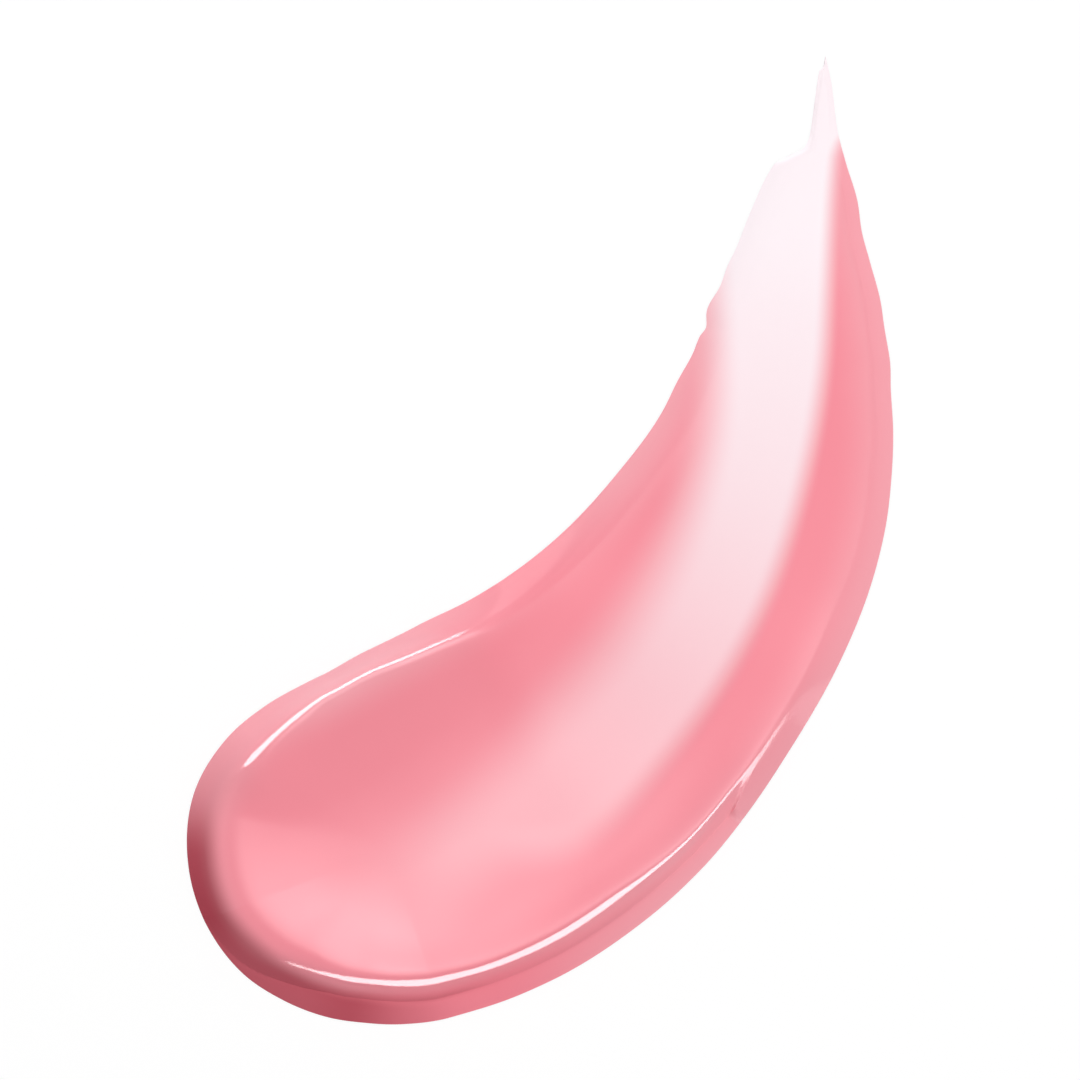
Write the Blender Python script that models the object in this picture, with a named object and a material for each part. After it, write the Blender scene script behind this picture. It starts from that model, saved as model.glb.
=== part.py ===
"""A smear of lip gloss, laid down by one stroke of a small spatula.

The stroke starts at a thick round dollop, bends to the left and runs out in a thin, torn tail.
The blade has pressed a scoop along the middle and pushed the gloss up into a rim round its edge.
Further up it has scraped a track down to a thin film, and a flat ledge of gloss has crept out
along the right side of the foot.

The whole smear is one body of gloss. It is built as a run of ribs: each rib is a half section
that goes from the foot of the gloss, over its wall and crest, down to the middle line of the
stroke. The ribs go round the smear, from the tip of the tail along the left side, round the
dollop and back along the right side.

Run it with blender --background --python part.py. Lengths are in millimetres until the mesh is
scaled to metres. Seen from above, +Y is the way the tail points and +Z is up.
"""

import math
from collections import namedtuple

import bmesh
import bpy

MM = 0.001

# The middle line of the stroke: an arc that starts at the centre of the dollop, then a straight tail.
START_HEADING = 20.0
BEND_RADIUS = 32.5
BEND_ANGLE = 64.2
TAIL_RUN = 13.9

# Every table below goes by shares of the stroke's length. A share below 0 is a place on the round back
# of the dollop, so far behind its side: BACK is the middle of the back. 1 is the tip of the tail.
BACK = -0.312

# Plan of the smear, as shares of DOLLOP_HALF_WIDTH from the middle line out to the edge. The left side
# has a nick and, near the tip, the shoulder where it tore.
DOLLOP_HALF_WIDTH = 10.02
LEFT_HALF_WIDTHS = (
    (BACK, 1.006), (-0.258, 1.025), (-0.190, 1.040), (-0.120, 1.013), (-0.070, 0.981), (-0.025, 0.967),
    (0.070, 0.997), (0.160, 0.976), (0.240, 0.917), (0.400, 0.787), (0.500, 0.702), (0.600, 0.596),
    (0.640, 0.563), (0.680, 0.511), (0.700, 0.491), (0.710, 0.469), (0.725, 0.476), (0.755, 0.418),
    (0.795, 0.357), (0.835, 0.300), (0.885, 0.204), (0.895, 0.133), (0.905, 0.059), (0.920, 0.038),
    (0.975, 0.023), (1.000, 0.000),
)
RIGHT_HALF_WIDTHS = (
    (BACK, 1.006), (-0.240, 0.971), (-0.190, 0.932), (-0.140, 0.905), (-0.090, 0.887), (-0.050, 0.891),
    (0.000, 0.912), (0.060, 0.944), (0.110, 0.954), (0.180, 0.941), (0.240, 0.913), (0.300, 0.866),
    (0.360, 0.818), (0.440, 0.773), (0.500, 0.736), (0.560, 0.682), (0.600, 0.631), (0.640, 0.577),
    (0.680, 0.514), (0.725, 0.449), (0.755, 0.411), (0.795, 0.335), (0.830, 0.274), (0.855, 0.241),
    (0.895, 0.158), (0.925, 0.103), (0.975, 0.044), (1.000, 0.000),
)

# The crest of the rim: how high it stands, and how far in from the edge it lies.
CREST_HEIGHT = 2.1
LEFT_CREST_HEIGHTS = (
    (BACK, 0.99), (-0.20, 0.98), (-0.10, 1.00), (0.00, 1.00), (0.10, 0.95), (0.20, 0.82), (0.26, 0.68),
    (0.32, 0.46), (0.40, 0.27), (0.50, 0.18), (0.70, 0.14), (0.86, 0.10), (1.00, 0.06),
)
RIGHT_CREST_HEIGHTS = (
    (BACK, 0.99), (-0.20, 0.95), (-0.10, 0.85), (0.00, 0.72), (0.10, 0.60), (0.20, 0.53), (0.32, 0.47),
    (0.40, 0.37), (0.50, 0.15), (0.70, 0.12), (0.86, 0.09), (1.00, 0.06),
)
CREST_RUN = 2.2
LEFT_CREST_RUNS = (
    (BACK, 1.00), (-0.20, 0.89), (-0.12, 0.73), (-0.05, 0.61), (0.00, 0.52), (0.08, 0.51), (0.16, 0.59),
    (0.24, 0.66), (0.32, 0.73), (0.40, 0.73), (0.60, 0.64), (0.86, 0.41), (1.00, 0.09),
)
RIGHT_CREST_RUNS = (
    (BACK, 1.00), (-0.19, 0.94), (-0.11, 0.88), (-0.02, 0.88), (0.08, 0.75), (0.16, 0.75), (0.24, 0.65),
    (0.34, 0.51), (0.44, 0.55), (0.60, 0.50), (0.86, 0.32), (1.00, 0.09),
)
MOST_CREST_SHARE = 0.8

# How round the wall below the crest is, in degrees: 90 levels off at the crest, less meets it at a slope.
LEFT_WALL_ARCS = ((BACK, 61), (-0.10, 80), (0.40, 80))
RIGHT_WALL_ARCS = ((BACK, 61), (-0.16, 39), (0.00, 39), (0.20, 25), (0.50, 25))

# How steeply the wall's surface goes on inside the crest, where the scoop has cut it off, and the run
# over which it takes up that slope.
WALL_RISE = 0.3
RISE_RUN = 1.0

# The fillet of the crest, as a share of its height: soft round the back, crisper up the sides.
LEFT_SOFTNESS = ((-0.20, 0.35), (-0.10, 0.15))
RIGHT_SOFTNESS = ((BACK, 0.35), (-0.24, 0.40), (0.16, 0.40), (0.28, 0.30), (0.36, 0.20), (0.44, 0.12))

# The scoop: its floor along the middle line, how steeply it climbs to the crest, and how it leans.
SCOOP_FLOOR = 1.1
FLOOR_FADE = (
    (-0.08, 1.00), (0.06, 0.90), (0.18, 0.76), (0.32, 0.55), (0.50, 0.45), (0.70, 0.36), (0.86, 0.20),
    (1.00, 0.11),
)
LEFT_BOWL_POWERS = ((BACK, 3.0), (0.00, 2.4), (0.70, 2.4))
RIGHT_BOWL_POWERS = ((BACK, 3.0), (-0.16, 3.1), (0.00, 4.1), (0.32, 3.2), (0.70, 2.4))
LEAN = 0.4
LEAN_SHARES = (
    (-0.20, 0.2), (-0.06, 0.8), (0.08, 0.6), (0.24, -0.2), (0.40, -0.5), (0.60, 0.2), (1.00, 0.9),
)
SWELL_SHARES = ((-0.20, 0.1), (-0.06, 2.0), (0.08, 3.1), (0.24, 1.7), (0.40, 1.5), (0.60, 3.5))

# The scraped track: how near it is scraped to a thin film, how far it reaches either side of the
# middle line, and how wide its two soft edges are.
TAIL_FILM = 0.12
SCRAPE = (
    (-0.10, 0.06), (0.00, 0.07), (0.08, 0.12), (0.16, 0.15), (0.24, 0.21), (0.40, 0.41), (0.56, 0.58),
    (0.72, 0.70), (0.84, 0.78), (1.00, 0.80),
)
TRACK_REACH = 5.0
TRACK_RIGHTS = (
    (0.00, 1.43), (0.10, 0.81), (0.18, 0.98), (0.28, 0.77), (0.44, 0.54), (0.60, 0.37), (0.76, 0.26),
    (1.00, 0.17),
)
TRACK_LEFTS = (
    (0.00, 0.19), (0.16, 0.30), (0.24, 0.38), (0.40, 0.48), (0.56, 0.62), (0.72, 0.84), (1.00, 1.20),
)
TRACK_EDGE = 4.0
TRACK_RIGHT_EDGES = ((0.00, 1.50), (0.20, 0.71), (0.40, 0.32), (1.00, 0.38))
TRACK_LEFT_EDGES = ((0.00, 1.47), (0.30, 0.92), (0.56, 0.74), (1.00, 0.49))

# The flat ledge along the right side of the foot: it widens from nothing round the back, and ends
# bluntly part way up.
LEDGE_RUN = 1.4
LEDGE_RUNS = (
    (BACK, 0.00), (-0.26, 0.25), (-0.20, 0.75), (-0.14, 1.00), (-0.08, 0.96), (-0.02, 0.85), (0.12, 0.75),
    (0.24, 0.61), (0.29, 0.50),
)
LEDGE_HEIGHT = 0.3
LEDGE_HEIGHTS = (
    (BACK, 0.00), (-0.26, 0.40), (-0.20, 0.85), (-0.14, 1.00), (-0.02, 0.84), (0.12, 0.77), (0.28, 0.50),
)
LEDGE_ARC = 65
LEDGE_UNTIL = 0.282
LEDGE_END = 0.012
MOST_LEDGE_SHARE = 0.75

# Fineness of the mesh.
SIDE_RIBS = 90
RIB_CROWDING = 1.45
BACK_RIBS = 22
LEAST_FOOT_SHARE = 0.3
LEDGE_RINGS = 4
WALL_RINGS = 6
CREST_RINGS = 6
BOWL_RINGS = 9
CREST_BEFORE = 0.3
CREST_AFTER = 0.12
WELD_DISTANCE = 0.0002
SHARP_ANGLE = 50

GLOSS_PINK = (0.90, 0.33, 0.39, 1.0)

Rib = namedtuple(
    "Rib", "place side root_x root_y out_x out_y along across width run height arc power soft ledge"
)


def through(stations, place):
    """The value at a place of a smooth curve through (place, value) stations. It never overshoots them."""
    places = [p for p, _ in stations]
    values = [v for _, v in stations]
    place = min(max(place, places[0]), places[-1])
    i = max(j for j in range(len(places) - 1) if places[j] <= place)
    gaps = [b - a for a, b in zip(places, places[1:])]
    slopes = [(b - a) / gap for a, b, gap in zip(values, values[1:], gaps)]

    def tangent(j):
        if j == 0 or j == len(slopes):
            return slopes[min(j, len(slopes) - 1)]
        before, after = slopes[j - 1], slopes[j]
        return 0.0 if before * after <= 0 else 2 * before * after / (before + after)

    t = (place - places[i]) / gaps[i]
    rise = values[i + 1] - values[i]
    start, end = tangent(i) * gaps[i], tangent(i + 1) * gaps[i]
    return values[i] + t * start + t * t * (3 * rise - 2 * start - end) + t**3 * (start + end - 2 * rise)


def smooth_step(t):
    t = min(max(t, 0.0), 1.0)
    return t * t * (3 - 2 * t)


def stroke_length():
    return BEND_RADIUS * math.radians(BEND_ANGLE) + TAIL_RUN


def middle_line(place):
    """Point and heading (radians) at a share of the stroke's length."""
    first, bend = math.radians(START_HEADING), math.radians(BEND_ANGLE)
    along = place * stroke_length()
    turned = min(along / BEND_RADIUS, bend)
    straight = max(along - BEND_RADIUS * bend, 0.0)
    heading = first + turned
    x = BEND_RADIUS * (math.sin(heading) - math.sin(first)) + straight * math.cos(heading)
    y = BEND_RADIUS * (math.cos(first) - math.cos(heading)) + straight * math.sin(heading)
    return x, y, heading


def ledge_share(place, left):
    """How much of the foot ledge there is at a place: 1 along the right side, 0 elsewhere."""
    return 0.0 if left else 1 - smooth_step((place - LEDGE_UNTIL) / LEDGE_END)


def rib_at(place, side):
    """The rib that ends at a place of the edge, left (side 1) or right (side -1) of the stroke."""
    left = side > 0
    x, y, heading = middle_line(max(place, 0.0))
    turn = side * 0.5 * math.pi * (1 + max(-place, 0.0) / -BACK)
    width = DOLLOP_HALF_WIDTH * through(LEFT_HALF_WIDTHS if left else RIGHT_HALF_WIDTHS, place)
    run = CREST_RUN * through(LEFT_CREST_RUNS if left else RIGHT_CREST_RUNS, place)
    return Rib(
        place=place,
        side=side,
        root_x=x,
        root_y=y,
        out_x=math.cos(heading + turn),
        out_y=math.sin(heading + turn),
        along=math.cos(turn),
        across=math.sin(turn),
        width=width,
        run=min(run, MOST_CREST_SHARE * width),
        height=CREST_HEIGHT * through(LEFT_CREST_HEIGHTS if left else RIGHT_CREST_HEIGHTS, place),
        arc=math.radians(through(LEFT_WALL_ARCS if left else RIGHT_WALL_ARCS, place)),
        power=through(LEFT_BOWL_POWERS if left else RIGHT_BOWL_POWERS, place),
        soft=through(LEFT_SOFTNESS if left else RIGHT_SOFTNESS, place),
        ledge=ledge_share(place, left),
    )


def all_ribs():
    """The ribs in order: left side from the tip down, round the back, and up the right side."""
    # Ribs lie closer together towards the tip, where the outline is torn.
    sides = [math.sin(RIB_CROWDING * i / SIDE_RIBS) / math.sin(RIB_CROWDING) for i in range(SIDE_RIBS + 1)]
    back = [BACK * i / BACK_RIBS for i in range(1, BACK_RIBS + 1)]
    left = [rib_at(place, 1) for place in sides[::-1] + back]
    right = [rib_at(place, -1) for place in back[-2::-1] + sides]
    return left + right


def ledge_run(rib):
    """How far in from the edge the ledge reaches."""
    return min(LEDGE_RUN * through(LEDGE_RUNS, rib.place), MOST_LEDGE_SHARE * rib.run)


def ring_runs(rib):
    """How far in from the edge each ring of the mesh crosses a rib."""
    crest = rib.run
    ledge = max(ledge_run(rib), LEAST_FOOT_SHARE * crest)
    before = crest - CREST_BEFORE * (crest - ledge)
    after = crest + CREST_AFTER * (rib.width - crest)
    bands = (
        (0.0, ledge, LEDGE_RINGS), (ledge, before, WALL_RINGS),
        (before, after, CREST_RINGS), (after, rib.width, BOWL_RINGS),
    )
    runs = [low + (high - low) * i / count for low, high, count in bands for i in range(count)]
    return runs + [rib.width]


def stroke_place(rib, run):
    """How far along the stroke a point of a rib lies, as a share of it, and how far to its left."""
    out = max(rib.width - run, 0.0)
    return max(rib.place, 0.0) + out * rib.along / stroke_length(), out * rib.across


def scraped_share(rib, run):
    """How far the track is scraped down to a thin film at a point of a rib: 0 beside the track."""
    along, across = stroke_place(rib, run)
    right = across + TRACK_REACH * through(TRACK_RIGHTS, along)
    left = TRACK_REACH * through(TRACK_LEFTS, along) - across
    right_share = smooth_step(right / (TRACK_EDGE * through(TRACK_RIGHT_EDGES, along)) + 0.5)
    left_share = smooth_step(left / (TRACK_EDGE * through(TRACK_LEFT_EDGES, along)) + 0.5)
    return through(SCRAPE, along) * right_share * left_share


def scoop_height(rib, run):
    """Height of the scooped and scraped top, before the wall cuts it off."""
    along, across = stroke_place(rib, run)
    reach = 1 - run / rib.width if rib.width > 0 else 0.0
    crest_reach = 1 - rib.run / rib.width if rib.width > 0 else 1.0
    floor = SCOOP_FLOOR * through(FLOOR_FADE, along)
    top = floor + (rib.height - floor) * (max(reach, 0.0) / crest_reach) ** rib.power
    side = across / DOLLOP_HALF_WIDTH
    lean = LEAN * (through(LEAN_SHARES, along) * side + through(SWELL_SHARES, along) * side**3)
    top += lean * (1 - reach**2)
    return top + (TAIL_FILM - top) * scraped_share(rib, run)


def wall_height(rib, run, first, low):
    """Height of a wall that rises from a first run and height and passes through the crest."""
    if rib.run <= first:
        return low
    turned = min(rib.arc * max(run - first, 0.0) / (rib.run - first), 0.5 * math.pi)
    inside = max(run - rib.run, 0.0)
    rise = WALL_RISE * inside * inside / (inside + RISE_RUN)
    return low + (rib.height - low) * math.sin(turned) / math.sin(rib.arc) + rise


def stepped_height(rib, run):
    """Height of a wall that stands on the foot ledge."""
    ledge, arc = ledge_run(rib), math.radians(LEDGE_ARC)
    low = LEDGE_HEIGHT * through(LEDGE_HEIGHTS, rib.place)
    if run > ledge:
        return wall_height(rib, run, ledge, low)
    return low * math.sin(arc * run / ledge) / math.sin(arc) if ledge > 0 else 0.0


def meet(wall, top, fillet):
    """The lower of two heights, with a fillet where they cross. It is 0 at the foot of the wall."""
    if fillet <= 0:
        return min(wall, top)
    sunk = math.hypot(top, fillet) - top
    return 0.5 * (wall + top - math.hypot(wall - top, fillet) + sunk * math.exp(-wall / fillet))


def gloss_height(rib, run):
    """Height of the gloss at a distance in from the edge along a rib."""
    top = scoop_height(rib, run)
    inward = rib.width - rib.run
    fading = smooth_step((run - rib.run) / inward) if inward > 0 else 1.0
    fillet = rib.soft * rib.height * (1 - fading)
    plain = meet(wall_height(rib, run, 0.0, 0.0), top, fillet)
    if rib.ledge == 0:
        return max(plain, 0.0)
    stepped = meet(stepped_height(rib, run), top, fillet)
    return max(plain + rib.ledge * (stepped - plain), 0.0)


def rib_point(rib, run):
    """Point of the gloss surface at a distance in from the edge, in millimetres from the dollop's centre."""
    out = max(rib.width - run, 0.0)
    return rib.root_x + out * rib.out_x, rib.root_y + out * rib.out_y, gloss_height(rib, run)


def plan_centre(ribs):
    """Middle of the outline's box."""
    feet = [rib_point(rib, 0.0) for rib in ribs]
    xs, ys = [p[0] for p in feet], [p[1] for p in feet]
    return (min(xs) + max(xs)) / 2, (min(ys) + max(ys)) / 2


def drape_grid(bm, ribs):
    """Lays a grid over the ribs: its columns are ribs and its rows are rings."""
    rings = [ring_runs(rib) for rib in ribs]
    columns, rows = len(ribs) - 1, len(rings[0]) - 1
    bmesh.ops.create_grid(bm, x_segments=columns, y_segments=rows, size=1.0)
    centre_x, centre_y = plan_centre(ribs)
    for vert in bm.verts:
        column = round((vert.co.x + 1) / 2 * columns)
        row = round((vert.co.y + 1) / 2 * rows)
        x, y, z = rib_point(ribs[column], rings[column][row])
        vert.co = ((x - centre_x) * MM, (y - centre_y) * MM, z * MM)


def close_body(bm):
    """Welds the ribs along the middle line and at the tip, and closes the flat underside."""
    bmesh.ops.remove_doubles(bm, verts=bm.verts, dist=WELD_DISTANCE * MM)
    open_edges = [edge for edge in bm.edges if edge.is_boundary]
    bmesh.ops.holes_fill(bm, edges=open_edges, sides=0)
    bmesh.ops.triangulate(bm, faces=bm.faces)
    bmesh.ops.recalc_face_normals(bm, faces=bm.faces)


def gloss_material():
    material = bpy.data.materials.new("wet_gloss")
    material.use_nodes = True
    shader = material.node_tree.nodes["Principled BSDF"]
    shader.inputs["Base Color"].default_value = GLOSS_PINK
    shader.inputs["Roughness"].default_value = 0.12
    shader.inputs["Metallic"].default_value = 0.0
    shader.inputs["Coat Weight"].default_value = 1.0
    return material


def gloss_smear():
    """The one body of gloss."""
    bm = bmesh.new()
    drape_grid(bm, all_ribs())
    close_body(bm)
    mesh = bpy.data.meshes.new("gloss_smear")
    bm.to_mesh(mesh)
    bm.free()
    mesh.materials.append(gloss_material())
    mesh.shade_smooth()
    mesh.set_sharp_from_angle(angle=math.radians(SHARP_ANGLE))
    smear = bpy.data.objects.new("gloss_smear", mesh)
    bpy.context.scene.collection.objects.link(smear)
    return smear


def main():
    for old in list(bpy.data.objects):
        bpy.data.objects.remove(old)
    gloss_smear()


main()
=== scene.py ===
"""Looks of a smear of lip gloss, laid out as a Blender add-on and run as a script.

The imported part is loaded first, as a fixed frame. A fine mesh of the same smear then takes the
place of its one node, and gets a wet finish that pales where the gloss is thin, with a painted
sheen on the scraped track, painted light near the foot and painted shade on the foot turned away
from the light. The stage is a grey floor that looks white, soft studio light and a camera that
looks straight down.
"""

import math
from bisect import bisect_right
from collections import namedtuple

import bmesh
import bpy
from bpy.props import FloatProperty, FloatVectorProperty, IntProperty, PointerProperty
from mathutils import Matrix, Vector


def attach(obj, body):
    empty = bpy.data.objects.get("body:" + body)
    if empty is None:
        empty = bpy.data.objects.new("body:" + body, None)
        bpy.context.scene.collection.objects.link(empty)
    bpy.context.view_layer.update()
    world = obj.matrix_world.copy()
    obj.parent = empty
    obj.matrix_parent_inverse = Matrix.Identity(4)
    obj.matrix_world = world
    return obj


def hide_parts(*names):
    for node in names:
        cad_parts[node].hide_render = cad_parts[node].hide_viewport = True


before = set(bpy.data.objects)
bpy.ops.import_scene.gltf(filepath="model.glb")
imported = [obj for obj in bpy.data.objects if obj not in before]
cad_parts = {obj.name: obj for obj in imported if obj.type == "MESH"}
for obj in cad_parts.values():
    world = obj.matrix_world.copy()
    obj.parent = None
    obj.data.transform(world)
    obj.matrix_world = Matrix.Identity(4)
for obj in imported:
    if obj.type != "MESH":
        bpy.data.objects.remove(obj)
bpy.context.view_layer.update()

bl_info = {
    "name": "Lip Gloss Smear",
    "version": (1, 0, 0),
    "blender": (4, 5, 0),
    "location": "View3D > Sidebar > Gloss",
    "description": "Models a smear of lip gloss, its wet finish and a pale studio stage",
    "category": "Object",
}

MM = 0.001


class Curve:
    """A smooth curve through (place, value) stations that never overshoots them."""

    def __init__(self, *stations):
        self.places = [place for place, _ in stations]
        self.values = [value for _, value in stations]
        gaps = [b - a for a, b in zip(self.places, self.places[1:])]
        slopes = [(b - a) / gap for a, b, gap in zip(self.values, self.values[1:], gaps)]
        inner = [2 * a * b / (a + b) if a * b > 0 else 0.0 for a, b in zip(slopes, slopes[1:])]
        self.gaps = gaps
        self.tangents = [slopes[0]] + inner + [slopes[-1]]

    def __call__(self, place):
        place = min(max(place, self.places[0]), self.places[-1])
        i = min(bisect_right(self.places, place), len(self.gaps)) - 1
        t = (place - self.places[i]) / self.gaps[i]
        rise = self.values[i + 1] - self.values[i]
        start = self.tangents[i] * self.gaps[i]
        end = self.tangents[i + 1] * self.gaps[i]
        square, cube = 3 * rise - 2 * start - end, start + end - 2 * rise
        return self.values[i] + t * start + t * t * square + t**3 * cube


# The curves below go by millimetres along the edge of the smear, from the middle of its back past
# the side of the dollop (0) to the tip of the tail (50.3). Lengths on them are millimetres too.
BACK = -15.7

# The plan, from the middle line out to the edge. The left side has a nick and, near the tip, the
# shoulder where it tore.
LEFT_HALF_WIDTH = Curve(
    (BACK, 10.06), (-13, 10.25), (-9.6, 10.4), (-6.1, 10.13), (-3.5, 9.81), (-1.3, 9.67), (3.5, 9.97),
    (8, 9.76), (12, 9.18), (20, 7.89), (25, 7.04), (30, 5.99), (32, 5.67), (34, 5.16), (35, 4.97),
    (35.7, 4.69), (36.5, 4.76), (38, 4.18), (39, 3.93), (40, 3.57), (42, 3.0), (44.5, 2.04), (45, 1.33),
    (45.5, 0.59), (46.2, 0.38), (49, 0.27), (49.5, 0.23), (49.7, 0.05), (50.3, 0),
)
RIGHT_HALF_WIDTH = Curve(
    (BACK, 10.06), (-12.2, 9.71), (-9.6, 9.32), (-7, 9.05), (-4.4, 8.87), (-2.6, 8.91), (0, 9.12),
    (3, 9.44), (5.5, 9.54), (9, 9.41), (12, 9.14), (15, 8.67), (18, 8.19), (22, 7.75), (25, 7.38),
    (28, 6.85), (30, 6.35), (32, 5.81), (34, 5.19), (35, 4.98), (36.5, 4.49), (38, 4.11), (40, 3.35),
    (41.5, 2.78), (43, 2.41), (45, 1.58), (46.5, 1.03), (49, 0.44), (50.3, 0),
)
# How far in from the edge the crest of the rim lies, and how high it stands.
LEFT_CREST_RUN = Curve(
    (BACK, 2.2), (-10, 1.97), (-6, 1.87), (-4, 1.61), (-2, 1.39), (0, 1.21), (3, 1.19), (6, 1.34),
    (8, 1.49), (10, 1.66), (14, 1.7), (20, 1.62), (30, 1.4), (43, 0.9), (50.3, 0.2),
)
RIGHT_CREST_RUN = Curve(
    (BACK, 2.2), (-12, 2.38), (-10, 2.46), (-8, 2.36), (-5, 2.3), (-1, 2.34), (2, 2.14), (5, 2.1),
    (8, 2.04), (10, 1.8), (12, 1.55), (15, 1.38), (18, 1.24), (30, 1.1), (43, 0.7), (50.3, 0.2),
)
LEFT_CREST_HEIGHT = Curve(
    (BACK, 1.93), (-10, 1.79), (-5, 2), (0, 1.99), (5, 2), (10, 1.76), (13, 1.25), (16, 0.88),
    (20, 0.51), (25, 0.3), (35, 0.17), (43, 0.21), (49, 0.12), (50.3, 0.03),
)
RIGHT_CREST_HEIGHT = Curve(
    (BACK, 1.93), (-10, 1.98), (-5, 1.98), (0, 1.68), (5, 1.36), (10, 1.24), (16, 1.12), (20, 0.71),
    (25, 0.19), (35, 0.2), (43, 0.15), (49, 0.12), (50.3, 0.03),
)
# How round the wall is in degrees: 90 levels off at the crest, less meets it at a slope.
LEFT_WALL_ARC = Curve((BACK, 32), (-5, 32), (0, 78), (9, 61), (20, 59))
RIGHT_WALL_ARC = Curve((BACK, 32), (-8, 28), (0, 29), (10, 25), (25, 28))
# The fillet of the crest, as a share of its height: soft round the back, crisp up the sides.
LEFT_SOFTNESS = Curve((BACK, 0.85), (-10, 0.85), (-6, 0.32), (-3, 0.26), (0, 0.24))
RIGHT_SOFTNESS = Curve(
    (BACK, 0.85), (-12.5, 0.85), (-9.5, 0.75), (-3, 0.65), (2, 0.48), (8, 0.36), (14, 0.28), (18, 0.2),
    (22, 0.12),
)
# How steeply the scoop climbs to the crest: the power of the distance from the middle line.
LEFT_BOWL_POWER = Curve((BACK, 4.16), (0, 2.4), (16, 2.4), (35, 2.6))
RIGHT_BOWL_POWER = Curve((BACK, 4.16), (-7.9, 3), (0, 3.92), (16, 4.93), (35, 2.5))
# The flat ledge that has crept out along the right side of the foot: its width and its height.
LEDGE_RUN = Curve(
    (BACK, 0), (-13.1, 0.3), (-10, 0.9), (-7, 1.25), (-4, 1.22), (-1, 1.12), (6, 1), (12, 0.85),
    (14.5, 0.7),
)
LEDGE_HEIGHT = Curve(
    (BACK, 0), (-13.1, 0.12), (-10, 0.26), (-7, 0.3), (-1, 0.25), (6, 0.23), (14, 0.15),
)
# The floor of the scoop along the middle line, how far it leans to one side, and how far that lean
# bends up towards the rims.
FLOOR_HEIGHT = Curve(
    (-10, 1), (-4, 0.8), (3, 0.7), (9, 0.54), (16, 0.53), (25, 0.27), (35, 0.19), (43, 0.12),
    (50.3, 0.12),
)
CROSS_SLOPE = Curve(
    (-10, -0.2), (-3, -0.21), (4, -0.05), (12, -0.26), (20, -0.29), (30, 0.25), (50.3, 0.15),
)
CROSS_SWELL = Curve((-10, 1.23), (-3, 0.66), (4, 0.18), (12, -0.27), (20, -0.45), (30, 0.15))
# The scraped track: how thin it is scraped, how far right and left of the middle line it reaches,
# and the widths of its two soft edges.
SCRAPE = Curve(
    (-5, 0), (0, 0.08), (4, 0.2), (8, 0.22), (12, 0.32), (20, 0.56), (28, 0.77), (36, 0.89), (42, 0.97),
    (50.3, 0.95),
)
TRACK_RIGHT = Curve(
    (0, 4.13), (5, 2.79), (9, 4.29), (14, 3.75), (22, 2.88), (30, 1.9), (38, 1.36), (45, 1),
    (45.8, 1.15), (46.8, 1.6), (50.3, 1.6),
)
TRACK_LEFT = Curve(
    (0, 0.3), (8, 1.52), (12, 2.37), (20, 2.63), (28, 3.23), (36, 4.28), (41, 5.07), (50.3, 6.15),
)
TRACK_RIGHT_EDGE = Curve((0, 5.65), (10, 2.33), (20, 1.69), (30, 1.57), (50.3, 0.87))
TRACK_LEFT_EDGE = Curve((0, 3.93), (15, 4.58), (28, 3.52), (36, 2.75), (50.3, 2.54))
# The painted shade on the foot, a darker colour in place of the shade on the side turned away from
# the light: how strong it is, how far in it reaches, and how wide its soft edges are.
LEFT_PAINTED_SHADE = Curve((BACK, 0.97), (-12.5, 0.93), (-9, 0.33), (-5, 0))
RIGHT_PAINTED_SHADE = Curve(
    (BACK, 0.97), (-12.5, 0.8), (-9, 0.79), (-6, 0.85), (-3, 0.78), (0, 0.95), (3, 0.29), (6, 0.51),
    (12, 0),
)
PAINTED_SHADE_RUN = Curve((BACK, 1.4), (-12, 1.75), (-6, 1.47), (0, 1.13), (6, 0.89))
LEFT_PAINTED_SHADE_EDGE = 1.15
RIGHT_PAINTED_SHADE_EDGE = 1.06
# Painted light near the foot, where the light falls on it: how far the colour pales towards white there.
LEFT_PAINTED_LIGHT = Curve(
    (-12.5, 0.15), (-9, 0.2), (-5, 0.2), (0, 0.28), (5, 0.26), (10, 0.19), (16, 0.08), (25, 0.21),
)
RIGHT_PAINTED_LIGHT = Curve((-8, 0.09), (-3, 0.01), (2, 0), (7, 0.14), (12, 0.21), (18, 0.18), (25, 0.19))
PAINTED_LIGHT_RUN = 1.5
PAINTED_LIGHT_EDGE = 3.48

# The crest's run is at most this share of the half width, and the ledge's this share of the crest's.
MOST_CREST_SHARE = 0.8
MOST_LEDGE_SHARE = 0.75
# The scoop's climb goes on past the crest up to this many times the crest's distance.
MOST_REACH = 1.6
# The least run that anything is divided by, for the tip, where the smear has no width.
LEAST_RUN = 0.02 * MM
# The wall's slope inside the crest, and the run over which it takes up that slope.
WALL_RISE = 0.3
RISE_RUN = 1.0 * MM
# The crest's fillet fades over this share of the run from the crest to the middle line.
FILLET_FADE = 0.6
LEAST_FADE = 0.03 * MM
# How round the ledge's own edge is.
LEDGE_ARC = math.radians(65)
# Where the rings lie: the least share of the crest's run that the foot's rings take, how near to the
# crease its two rings lie, and where the crest's fine rings start and end.
LEAST_FOOT_SHARE = 0.3
CREASE_SHARE = 0.01
CREST_BEFORE = 0.35
CREST_AFTER = 0.1
# How the colour pales with the film. On the scraped track the paleness is partly thin film and partly a
# painted sheen.
FILM_POWER = 0.96
# The painted shade lifts off the ledge over PALE_RUN, from PALE_FROM before the dollop's side, and up to
# its crease.
PALE_FROM = 6
PALE_RUN = 8
PALE_EDGE = 0.15 * MM
# The satin film starts at SATIN_FROM along the middle line, and earlier to the left. It is weaker
# beside the scraped track.
SATIN_FROM = 9
SATIN_LEAN = 1 / 3
SATIN_RUN = 9
SATIN_FILM = 0.83
FILM_BARE = 0.16
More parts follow.
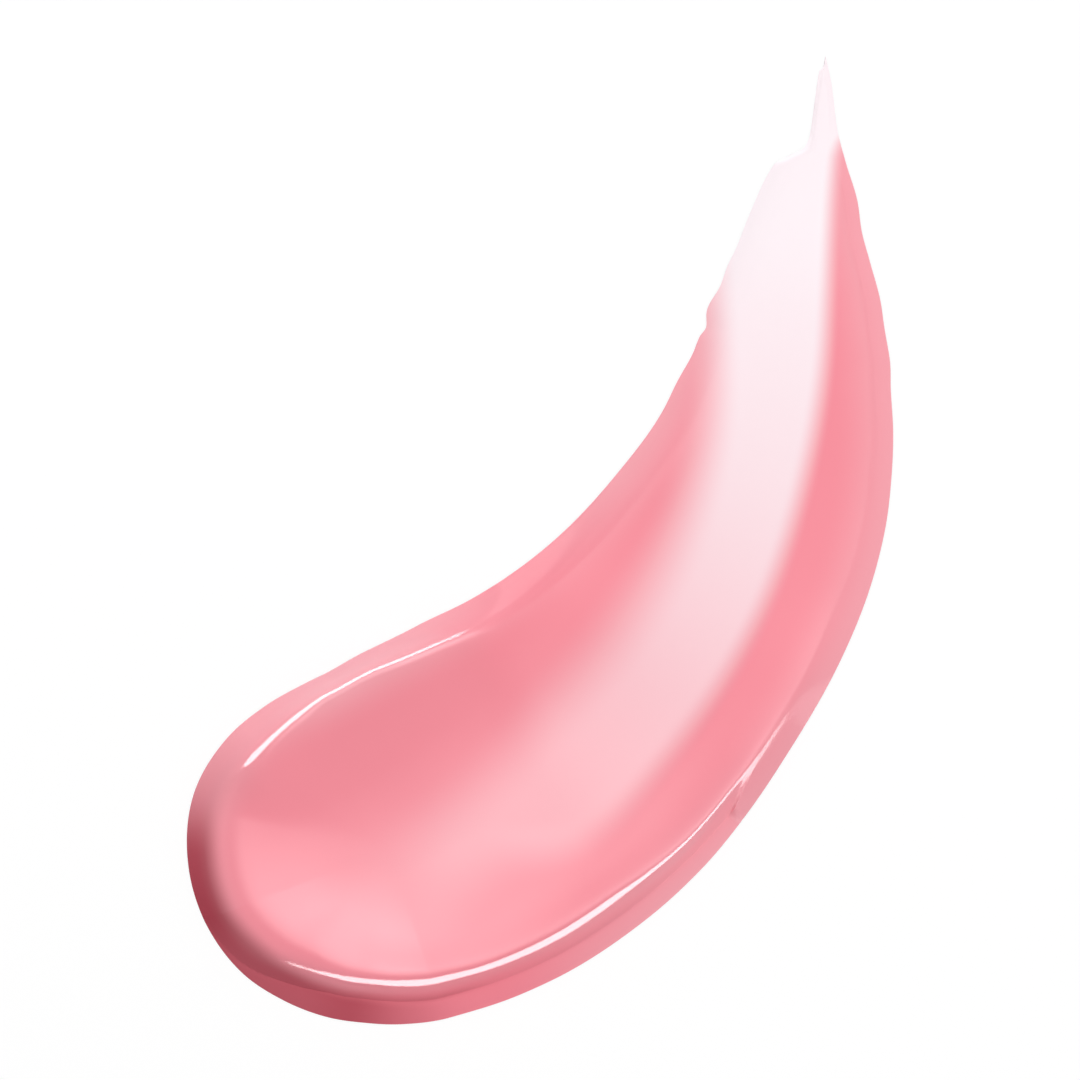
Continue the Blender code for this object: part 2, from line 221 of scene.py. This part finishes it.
# The satin wall reaches up by these shares of its run: past 1 it covers the crest.
LEFT_SATIN_UP = Curve((8, 0.4), (13, 1.2), (50.3, 1.2))
RIGHT_SATIN_UP = Curve((10, 0.4), (13, 0.6), (14.5, 0.8), (17.5, 0.8), (20.5, 1.2), (50.3, 1.2))
SATIN_EDGE = 0.4
# Mesh: how near two points have to lie to be one, and how sharp a crease has to be to stay sharp.
MERGE_RUN = 0.002 * MM
CREASE_ANGLE = math.radians(15)

# The gloss has a dull body under a clear coat. Full satin takes SATIN_TAKES of the coat away.
BODY_ROUGHNESS = 0.6
COAT_ROUGHNESS = 0.1
SATIN_TAKES = 0.92

# The floor lies just under the smear. It is grey where light falls on it, and glows up to white.
FLOOR_DROP = 0.05 * MM
FLOOR_COLOUR = (0.3, 0.3, 0.3, 1)
FLOOR_GLOW = 0.715
WHITE = (1, 1, 1, 1)

# The lamps: azimuth and elevation in degrees, shape, size in metres, level, and spread in degrees.
LAMP_DISTANCE = 0.5
Lamp = namedtuple("Lamp", "name azimuth elevation shape size level spread", defaults=[180])
KEY = Lamp("key", 109, 28, "RECTANGLE", (0.28, 0.28), 0.248)
FILL = Lamp("fill", -23, 22, "RECTANGLE", (0.28, 0.28), 0.126)
GLOSSY_LAMPS = (
    Lamp("sheen", 58.5, 71.5, "DISK", (0.52, 0.52), 5.34, 55.1),
    Lamp("wide_sheen", 58.5, 71.5, "DISK", (0.59, 0.59), 2.86, 60.9),
    Lamp("left_strip", 133, 34, "ELLIPSE", (0.54, 0.34), 14),
    Lamp("right_strip", 290, 33, "ELLIPSE", (0.86, 0.36), 14),
)
SENSOR_WIDTH = 36.0
CLIP_START = 0.01

Rib = namedtuple(
    "Rib", "place side root_x root_y out_x out_y along across width crest_run crest_height arc power soft",
)


class GlossShape(bpy.types.PropertyGroup):
    """Sizes of the smear."""

    start_heading: FloatProperty(
        name="Start heading", description="Way that the stroke starts, from +X", default=math.radians(20),
        unit="ROTATION",
    )
    bend_radius: FloatProperty(
        name="Bend radius", description="Radius of the stroke's middle line", default=32.5 * MM,
        unit="LENGTH",
    )
    bend_angle: FloatProperty(
        name="Bend angle", description="Angle through which the stroke bends", default=math.radians(64.2),
        unit="ROTATION",
    )
    tail_run: FloatProperty(
        name="Tail run", description="Straight end of the stroke", default=13.9 * MM, unit="LENGTH",
    )
    dollop_half_width: FloatProperty(
        name="Dollop half width", description="Half of the dollop's width", default=10 * MM,
        unit="LENGTH",
    )
    tail_film: FloatProperty(
        name="Tail film", description="Thickness of the film that the scrape leaves", default=0.12 * MM,
        unit="LENGTH",
    )
    ledge_end: FloatProperty(
        name="Ledge end", description="Where the ledge starts to end", default=14.2 * MM, unit="LENGTH",
    )
    ledge_taper: FloatProperty(
        name="Ledge taper", description="Length over which the ledge ends", default=0.5 * MM,
        unit="LENGTH",
    )
    crest_taper: FloatProperty(
        name="Crest taper", description="Length over which the wall above the ledge fills out",
        default=3 * MM, unit="LENGTH",
    )
    side_ribs: IntProperty(name="Side ribs", description="Ribs along each side", default=420)
    back_ribs: IntProperty(name="Back ribs", description="Ribs round each half of the back", default=120)
    end_ribs: IntProperty(name="End ribs", description="Ribs over the end of the ledge", default=8)
    ledge_rings: IntProperty(name="Ledge rings", description="Rings over the ledge", default=8)
    wall_rings: IntProperty(name="Wall rings", description="Rings up the wall", default=12)
    crest_rings: IntProperty(name="Crest rings", description="Rings over the crest", default=22)
    bowl_rings: IntProperty(name="Bowl rings", description="Rings across the scoop", default=34)


class GlossFinish(bpy.types.PropertyGroup):
    """Colours of the gloss, and of the painted light and shade on it."""

    thick: FloatVectorProperty(
        name="Thick gloss", description="Colour where the gloss is thick", subtype="COLOR", size=4,
        default=(0.925, 0.255, 0.314, 1),
    )
    # Also the colour of the painted sheen on the scraped track and of the painted light near the foot.
    thin: FloatVectorProperty(
        name="Thin gloss", description="Colour where the gloss is thin", subtype="COLOR", size=4,
        default=(1.000, 0.916, 0.953, 1),
    )
    # Painted shade: a darker colour that stands in for shade on the walls turned away from the light.
    painted_shade: FloatVectorProperty(
        name="Painted shade gloss", description="Colour on the walls turned away from the light", subtype="COLOR",
        size=4, default=(0.432, 0.057, 0.083, 1),
    )


class StageSettings(bpy.types.PropertyGroup):
    """Floor, light and camera."""

    view_width: FloatProperty(
        name="View width", description="Width that the camera sees on the floor", default=55.7 * MM,
        unit="LENGTH",
    )
    lens: FloatProperty(
        name="Lens", description="Focal length in millimetres", default=300.0, unit="CAMERA",
    )
    floor_size: FloatProperty(
        name="Floor size", description="Side of the floor", default=1.6, unit="LENGTH",
    )
    ambient: FloatProperty(
        name="Ambient", description="Strength of the light from all sides", default=0.626,
        min=0, max=1, subtype="FACTOR",
    )
    key: FloatProperty(
        name="Key", description="Strength of the key light", default=KEY.level,
        min=0, max=1, subtype="FACTOR",
    )
    fill: FloatProperty(
        name="Fill", description="Strength of the fill light", default=FILL.level,
        min=0, max=1, subtype="FACTOR",
    )


def smooth_step(t):
    t = min(max(t, 0.0), 1.0)
    return t * t * (3 - 2 * t)


def stroke_length(shape):
    return shape.bend_radius * shape.bend_angle + shape.tail_run


def middle_line(shape, along):
    """Point and heading at a distance along the stroke."""
    first, bend, radius = shape.start_heading, shape.bend_angle, shape.bend_radius
    turned = min(along / radius, bend)
    straight = max(along - radius * bend, 0.0)
    heading = first + turned
    x = radius * (math.sin(heading) - math.sin(first)) + straight * math.cos(heading)
    y = radius * (math.cos(first) - math.cos(heading)) + straight * math.sin(heading)
    return x, y, heading


def ledge_run(rib):
    return min(LEDGE_RUN(rib.place / MM) * MM, MOST_LEDGE_SHARE * rib.crest_run)


def ledge_share(shape, rib, run):
    """How much of the foot ledge there is: 1 along the right side. It ends bluntly at the foot and
    slowly along the crest."""
    if rib.side > 0:
        return 0.0
    ledge = ledge_run(rib)
    up = min(max((run - ledge) / max(rib.crest_run - ledge, LEAST_RUN), 0.0), 1.0)
    taper = shape.ledge_taper + up * (shape.crest_taper - shape.ledge_taper)
    return 1 - smooth_step((rib.place - shape.ledge_end) / taper)


def rib_at(shape, place, side):
    """The rib that ends at a place of the edge, left (side 1) or right (side -1) of the stroke."""
    x, y, heading = middle_line(shape, max(place, 0.0))
    turn = side * (0.5 * math.pi + max(-place, 0.0) / shape.dollop_half_width)
    left, mm = side > 0, place / MM
    width = (LEFT_HALF_WIDTH if left else RIGHT_HALF_WIDTH)(mm) * MM
    run = (LEFT_CREST_RUN if left else RIGHT_CREST_RUN)(mm) * MM
    return Rib(
        place, side, x, y,
        out_x=math.cos(heading + turn),
        out_y=math.sin(heading + turn),
        along=math.cos(turn),
        across=math.sin(turn),
        width=width,
        crest_run=min(run, MOST_CREST_SHARE * width),
        crest_height=(LEFT_CREST_HEIGHT if left else RIGHT_CREST_HEIGHT)(mm) * MM,
        arc=math.radians((LEFT_WALL_ARC if left else RIGHT_WALL_ARC)(mm)),
        power=(LEFT_BOWL_POWER if left else RIGHT_BOWL_POWER)(mm),
        soft=(LEFT_SOFTNESS if left else RIGHT_SOFTNESS)(mm),
    )


def all_ribs(shape):
    """The ribs from the tail's tip down the left, round the back and up the right to the tip."""
    length, back = stroke_length(shape), 0.5 * math.pi * shape.dollop_half_width
    side_places = [length * i / shape.side_ribs for i in range(shape.side_ribs + 1)]
    first, taper, count = shape.ledge_end, shape.ledge_taper, shape.end_ribs
    end_places = [first + taper * i / count for i in range(count + 1)]
    side_places = sorted(side_places + end_places)
    back_places = [-back * i / shape.back_ribs for i in range(1, shape.back_ribs + 1)]
    left = [rib_at(shape, place, 1) for place in side_places[::-1] + back_places]
    right = [rib_at(shape, place, -1) for place in back_places[-2::-1] + side_places]
    return left + right


def ring_runs(shape, rib):
    """How far in from the edge each ring crosses a rib. Two lie close to each side of the crease."""
    crest, width = rib.crest_run, rib.width
    ledge = max(ledge_run(rib), LEAST_FOOT_SHARE * crest)
    outer, inner = ledge - CREASE_SHARE * ledge, ledge + CREASE_SHARE * (crest - ledge)
    before, after = crest - CREST_BEFORE * (crest - ledge), crest + CREST_AFTER * (width - crest)
    steps = (
        (0.0, outer, shape.ledge_rings),
        (outer, ledge, 1),
        (ledge, inner, 1),
        (inner, before, shape.wall_rings),
        (before, after, shape.crest_rings),
        (after, width, shape.bowl_rings),
    )
    runs = [low + (high - low) * i / count for low, high, count in steps for i in range(count)]
    return runs + [width]


def stroke_place(rib, run):
    """How far along the stroke a point of a rib lies, and how far to its left."""
    out = max(rib.width - run, 0.0)
    return max(rib.place, 0.0) + out * rib.along, out * rib.across


def scraped_share(rib, run):
    """How far the track is scraped down to a thin film at a point of a rib: 0 beside the track."""
    along, across = (value / MM for value in stroke_place(rib, run))
    right = (across + TRACK_RIGHT(along)) / TRACK_RIGHT_EDGE(along)
    left = (TRACK_LEFT(along) - across) / TRACK_LEFT_EDGE(along)
    return SCRAPE(along) * smooth_step(right + 0.5) * smooth_step(left + 0.5)


def scoop_height(shape, rib, run):
    """Height of the scooped and scraped top, before the wall cuts it off."""
    along, across = (value / MM for value in stroke_place(rib, run))
    reach = (1 - run / rib.width) if rib.width > 0 else 0.0
    crest_reach = (1 - rib.crest_run / rib.width) if rib.width > 0 else 1.0
    floor = FLOOR_HEIGHT(along) * MM
    height = floor + (rib.crest_height - floor) * min(reach / crest_reach, MOST_REACH) ** rib.power
    share = across * MM / shape.dollop_half_width
    lean = CROSS_SLOPE(along) * share + CROSS_SWELL(along) * share**3
    height += lean * MM * (1 - reach**2)
    return height + (shape.tail_film - height) * scraped_share(rib, run)


def wall_curve(rib, run, first, low):
    """A wall that rises from a first run and height, through the crest and on inside it."""
    if rib.crest_run <= first:
        return low
    turned = min(rib.arc * max(run - first, 0.0) / (rib.crest_run - first), 0.5 * math.pi)
    inside = max(run - rib.crest_run, 0.0)
    rise = WALL_RISE * inside * inside / (inside + RISE_RUN)
    return low + (rib.crest_height - low) * math.sin(turned) / math.sin(rib.arc) + rise


def meet(wall, top, fillet):
    """The lower of two heights, with a fillet where they cross. It is 0 at the foot of the wall."""
    if fillet <= 0:
        return min(wall, top)
    sunk = math.hypot(top, fillet) - top
    return 0.5 * (wall + top - math.hypot(wall - top, fillet) + sunk * math.exp(-wall / fillet))


def gloss_height(shape, rib, run):
    """Height of the gloss at a point of a rib: the lower of the wall and the scoop, with the ledge."""
    top = scoop_height(shape, rib, run)
    inward = (run - rib.crest_run) / max(FILLET_FADE * (rib.width - rib.crest_run), LEAST_FADE)
    fillet = rib.soft * rib.crest_height * (1 - smooth_step(inward))
    plain = meet(wall_curve(rib, run, 0.0, 0.0), top, fillet)
    share = ledge_share(shape, rib, run)
    if share == 0:
        return plain
    ledge = ledge_run(rib)
    low = LEDGE_HEIGHT(rib.place / MM) * MM
    if run > ledge:
        wall = wall_curve(rib, run, ledge, low)
    else:
        wall = low * math.sin(LEDGE_ARC * run / ledge) / math.sin(LEDGE_ARC) if ledge > 0 else 0.0
    stepped = meet(wall, top, fillet)
    return plain + share * (stepped - plain)


def rib_point(shape, rib, run):
    out = max(rib.width - run, 0.0)
    height = max(gloss_height(shape, rib, run), 0.0)
    return rib.root_x + out * rib.out_x, rib.root_y + out * rib.out_y, height


def plan_centre(shape, ribs):
    """Middle of the smear's outline, which lies at the origin of the finished mesh."""
    feet = [rib_point(shape, rib, 0.0) for rib in ribs]
    xs = [foot[0] for foot in feet]
    ys = [foot[1] for foot in feet]
    return (min(xs) + max(xs)) / 2, (min(ys) + max(ys)) / 2


def film_and_painted_light_share(rib, run):
    """How far the colour pales towards white: in the scraped track, where the film is thin and a painted
    sheen lies on it, and near the foot as painted light where light falls on it.
    """
    painted_light = (LEFT_PAINTED_LIGHT if rib.side > 0 else RIGHT_PAINTED_LIGHT)(rib.place / MM)
    painted_light *= smooth_step((PAINTED_LIGHT_RUN - run / MM) / PAINTED_LIGHT_EDGE + 0.5)
    film = scraped_share(rib, run) ** FILM_POWER
    return film + painted_light * (1 - film) ** 2


def painted_shade_share(shape, rib, run):
    """Painted shade near the foot, round the side turned away from the light: how far the colour
    darkens there in place of shade. The painted shade lifts off the ledge along the right side."""
    mm, left = rib.place / MM, rib.side > 0
    amount = (LEFT_PAINTED_SHADE if left else RIGHT_PAINTED_SHADE)(mm)
    edge = LEFT_PAINTED_SHADE_EDGE if left else RIGHT_PAINTED_SHADE_EDGE
    painted_shade = amount * smooth_step((PAINTED_SHADE_RUN(BACK if left else mm) - run / MM) / edge + 0.5)
    pale = ledge_share(shape, rib, 0.0) * smooth_step((mm + PALE_FROM) / PALE_RUN)
    return painted_shade * (1 - pale * smooth_step((ledge_run(rib) - run) / PALE_EDGE + 0.5))


def satin_share(shape, rib, run):
    """How satin the gloss is at a point of a rib, on the thin film and up the wall."""
    along, across = (value / MM for value in stroke_place(rib, run))
    film = SATIN_FILM * smooth_step((along - SATIN_FROM + across * SATIN_LEAN) / SATIN_RUN)
    film *= 1 - FILM_BARE * (1 - scraped_share(rib, run)) ** 2
    low = ledge_share(shape, rib, rib.crest_run) * ledge_run(rib)
    up = (run - low) / max(rib.crest_run - low, LEAST_RUN)
    reach = (LEFT_SATIN_UP if rib.side > 0 else RIGHT_SATIN_UP)(rib.place / MM)
    return max(film, smooth_step((reach - up) / SATIN_EDGE + 0.5))


def drape_grid(bm, shape):
    """Lay a flat grid over the ribs, with the shares of film and painted light, painted shade and satin on
    its points.
    """
    ribs = all_ribs(shape)
    runs = [ring_runs(shape, rib) for rib in ribs]
    columns, rows = len(ribs) - 1, len(runs[0]) - 1
    bmesh.ops.create_grid(bm, x_segments=columns, y_segments=rows, size=1.0)
    centre_x, centre_y = plan_centre(shape, ribs)
    tint = bm.verts.layers.float_vector.new("tint")
    for vert in bm.verts:
        column = round((vert.co.x + 1) / 2 * columns)
        row = round((vert.co.y + 1) / 2 * rows)
        rib, run = ribs[column], runs[column][row]
        x, y, z = rib_point(shape, rib, run)
        vert.co = (x - centre_x, y - centre_y, z)
        painted_shade, satin = painted_shade_share(shape, rib, run), satin_share(shape, rib, run)
        vert[tint] = Vector((film_and_painted_light_share(rib, run), painted_shade, satin))


def close_body(bm):
    """Join the points that meet, and close the underside with one face."""
    bmesh.ops.remove_doubles(bm, verts=bm.verts, dist=MERGE_RUN)
    open_edges = [edge for edge in bm.edges if edge.is_boundary]
    bmesh.ops.holes_fill(bm, edges=open_edges, sides=0)
    bmesh.ops.recalc_face_normals(bm, faces=bm.faces)


class Nodes:
    """Adds and links the nodes of one tree."""

    def __init__(self, tree):
        self.tree = tree

    def add(self, kind, **settings):
        node = self.tree.nodes.new(kind)
        for name, value in settings.items():
            setattr(node, name, value)
        return node

    def put(self, socket, value):
        if isinstance(value, bpy.types.NodeSocket):
            self.tree.links.new(value, socket)
        else:
            socket.default_value = value

    def math(self, operation, *values):
        node = self.add("ShaderNodeMath", operation=operation)
        for socket, value in zip(node.inputs, values):
            self.put(socket, value)
        return node.outputs[0]

    def mix(self, share, first, second):
        """A mix of two colours. The names of this node's sockets repeat, so they go by place."""
        node = self.add("ShaderNodeMix", data_type="RGBA")
        self.put(node.inputs["Factor"], share)
        self.put(node.inputs[6], first)
        self.put(node.inputs[7], second)
        return node.outputs[2]

    def seen(self):
        """1 for a ray from the camera, a reflection or a look through glass, and 0 for light."""
        path = self.add("ShaderNodeLightPath")
        seen = self.math("MAXIMUM", path.outputs["Is Camera Ray"], path.outputs["Is Glossy Ray"])
        return self.math("MAXIMUM", seen, path.outputs["Is Transmission Ray"])


def gloss_material(finish):
    """A wet gloss: pink where it is thick, nearly white where it is thin, with a clear coat. Its colour
    also holds a painted sheen, painted light and painted shade.
    """
    material = bpy.data.materials.new("wet_gloss")
    material.use_nodes = True
    tree = material.node_tree
    nodes = Nodes(tree)
    shader = tree.nodes["Principled BSDF"]
    marks = nodes.add("ShaderNodeAttribute", attribute_name="tint")
    parts = nodes.add("ShaderNodeSeparateXYZ")
    tree.links.new(marks.outputs["Vector"], parts.inputs[0])
    thin, painted_shade, satin = parts.outputs
    # The first share pales the colour where the film is thin, and for the painted sheen and painted light.
    # The second mixes in the painted shade.
    tint = nodes.mix(thin, tuple(finish.thick), tuple(finish.thin))
    tint = nodes.mix(painted_shade, tint, tuple(finish.painted_shade))
    nodes.put(shader.inputs["Base Color"], tint)
    shader.inputs["Roughness"].default_value = BODY_ROUGHNESS
    shader.inputs["Specular IOR Level"].default_value = 0.0
    shader.inputs["Coat Roughness"].default_value = COAT_ROUGHNESS
    nodes.put(shader.inputs["Coat Weight"], nodes.math("MULTIPLY_ADD", satin, -SATIN_TAKES, 1.0))
    return material


class GLOSS_OT_smear(bpy.types.Operator):
    """Model the smear as one fine mesh and give it its wet finish"""

    bl_idname = "gloss.smear"
    bl_label = "Gloss smear"

    def execute(self, context):
        shape, finish = context.scene.gloss_shape, context.scene.gloss_finish
        bm = bmesh.new()
        drape_grid(bm, shape)
        close_body(bm)
        mesh = bpy.data.meshes.new("wet_smear")
        bm.to_mesh(mesh)
        bm.free()
        mesh.materials.append(gloss_material(finish))
        mesh.shade_smooth()
        mesh.set_sharp_from_angle(angle=CREASE_ANGLE)
        smear = bpy.data.objects.new("wet_smear", mesh)
        context.scene.collection.objects.link(smear)
        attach(smear, "root")
        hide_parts("gloss_smear")
        return {"FINISHED"}


def floor_material():
    """A grey floor that glows up to white when it is looked at."""
    material = bpy.data.materials.new("pale_floor")
    material.use_nodes = True
    tree = material.node_tree
    nodes = Nodes(tree)
    shader = tree.nodes["Principled BSDF"]
    shader.inputs["Base Color"].default_value = FLOOR_COLOUR
    shader.inputs["Roughness"].default_value = 1.0
    shader.inputs["Specular IOR Level"].default_value = 0.0
    shader.inputs["Emission Color"].default_value = WHITE
    nodes.put(shader.inputs["Emission Strength"], nodes.math("MULTIPLY", nodes.seen(), FLOOR_GLOW))
    return material


def add_floor(settings):
    bm = bmesh.new()
    bmesh.ops.create_grid(bm, x_segments=1, y_segments=1, size=settings.floor_size / 2)
    bmesh.ops.translate(bm, verts=bm.verts, vec=(0, 0, -FLOOR_DROP))
    mesh = bpy.data.meshes.new("floor")
    bm.to_mesh(mesh)
    bm.free()
    mesh.materials.append(floor_material())
    floor = bpy.data.objects.new("floor", mesh)
    bpy.context.scene.collection.objects.link(floor)


def add_world(settings):
    """Light from all sides, and white where it is looked at."""
    world = bpy.data.worlds.new("studio")
    world.use_nodes = True
    nodes = Nodes(world.node_tree)
    background = world.node_tree.nodes["Background"]
    background.inputs["Color"].default_value = WHITE
    strength = nodes.math("MULTIPLY_ADD", nodes.seen(), 1.0 - settings.ambient, settings.ambient)
    nodes.put(background.inputs["Strength"], strength)
    bpy.context.scene.world = world


def lamp_energy(lamp, high, diffuse):
    """Power of a lamp. Its level is the light that a diffuse lamp adds to a white floor, or the
    brightness that a glossy one has in a reflection."""
    if diffuse:
        return lamp.level * math.pi * math.pi * LAMP_DISTANCE**2 / math.sin(high)
    area = lamp.size[0] * lamp.size[1] * (1.0 if lamp.shape == "RECTANGLE" else 0.25 * math.pi)
    half = math.radians(lamp.spread) / 2
    gain = math.tan(half) / (math.tan(half) - half) if lamp.spread < 180 else 1.0
    return lamp.level * math.pi * area / gain


def add_lamp(lamp, diffuse=False):
    """An area lamp aimed at the smear. A diffuse one lights it and casts no shadow, and any other
    one shows only in reflections."""
    across, high = math.radians(lamp.azimuth), math.radians(lamp.elevation)
    flat = math.cos(high)
    direction = Vector((math.cos(across) * flat, math.sin(across) * flat, math.sin(high)))
    data = bpy.data.lights.new(lamp.name, "AREA")
    data.shape = lamp.shape
    data.size, data.size_y = lamp.size
    data.energy = lamp_energy(lamp, high, diffuse)
    data.spread = math.radians(lamp.spread)
    data.use_shadow = not diffuse
    holder = bpy.data.objects.new(lamp.name, data)
    bpy.context.scene.collection.objects.link(holder)
    holder.location = direction * LAMP_DISTANCE
    holder.rotation_euler = direction.to_track_quat("Z", "Y").to_euler()
    holder.visible_camera = False
    holder.visible_glossy = not diffuse
    holder.visible_diffuse = diffuse


def add_camera(settings):
    """A camera that looks straight down."""
    data = bpy.data.cameras.new("camera")
    data.lens = settings.lens
    data.sensor_width = SENSOR_WIDTH
    data.clip_start = CLIP_START
    camera = bpy.data.objects.new("camera", data)
    camera.location = (0, 0, settings.view_width * settings.lens / SENSOR_WIDTH)
    bpy.context.scene.collection.objects.link(camera)
    bpy.context.scene.camera = camera


class GLOSS_OT_stage(bpy.types.Operator):
    """Add the floor, the studio light and the camera"""

    bl_idname = "gloss.stage"
    bl_label = "Stage"

    def execute(self, context):
        settings = context.scene.gloss_stage
        add_floor(settings)
        add_world(settings)
        add_lamp(KEY._replace(level=settings.key), diffuse=True)
        add_lamp(FILL._replace(level=settings.fill), diffuse=True)
        for lamp in GLOSSY_LAMPS:
            add_lamp(lamp)
        add_camera(settings)
        context.scene.view_settings.view_transform = "Standard"
        return {"FINISHED"}


class GLOSS_PT_panel(bpy.types.Panel):
    """Buttons for the pieces and the stage"""

    bl_idname = "GLOSS_PT_panel"
    bl_label = "Lip gloss smear"
    bl_space_type = "VIEW_3D"
    bl_region_type = "UI"
    bl_category = "Gloss"

    def draw(self, context):
        for operator in ("gloss.smear", "gloss.stage"):
            self.layout.operator(operator)


CLASSES = (GlossShape, GlossFinish, StageSettings, GLOSS_OT_smear, GLOSS_OT_stage, GLOSS_PT_panel)


def register():
    for item in CLASSES:
        bpy.utils.register_class(item)
    bpy.types.Scene.gloss_shape = PointerProperty(type=GlossShape)
    bpy.types.Scene.gloss_finish = PointerProperty(type=GlossFinish)
    bpy.types.Scene.gloss_stage = PointerProperty(type=StageSettings)


def unregister():
    del bpy.types.Scene.gloss_shape, bpy.types.Scene.gloss_finish, bpy.types.Scene.gloss_stage
    for item in reversed(CLASSES):
        bpy.utils.unregister_class(item)


def main():
    register()
    bpy.ops.gloss.smear()
    bpy.ops.gloss.stage()


if __name__ == "__main__":
    main()
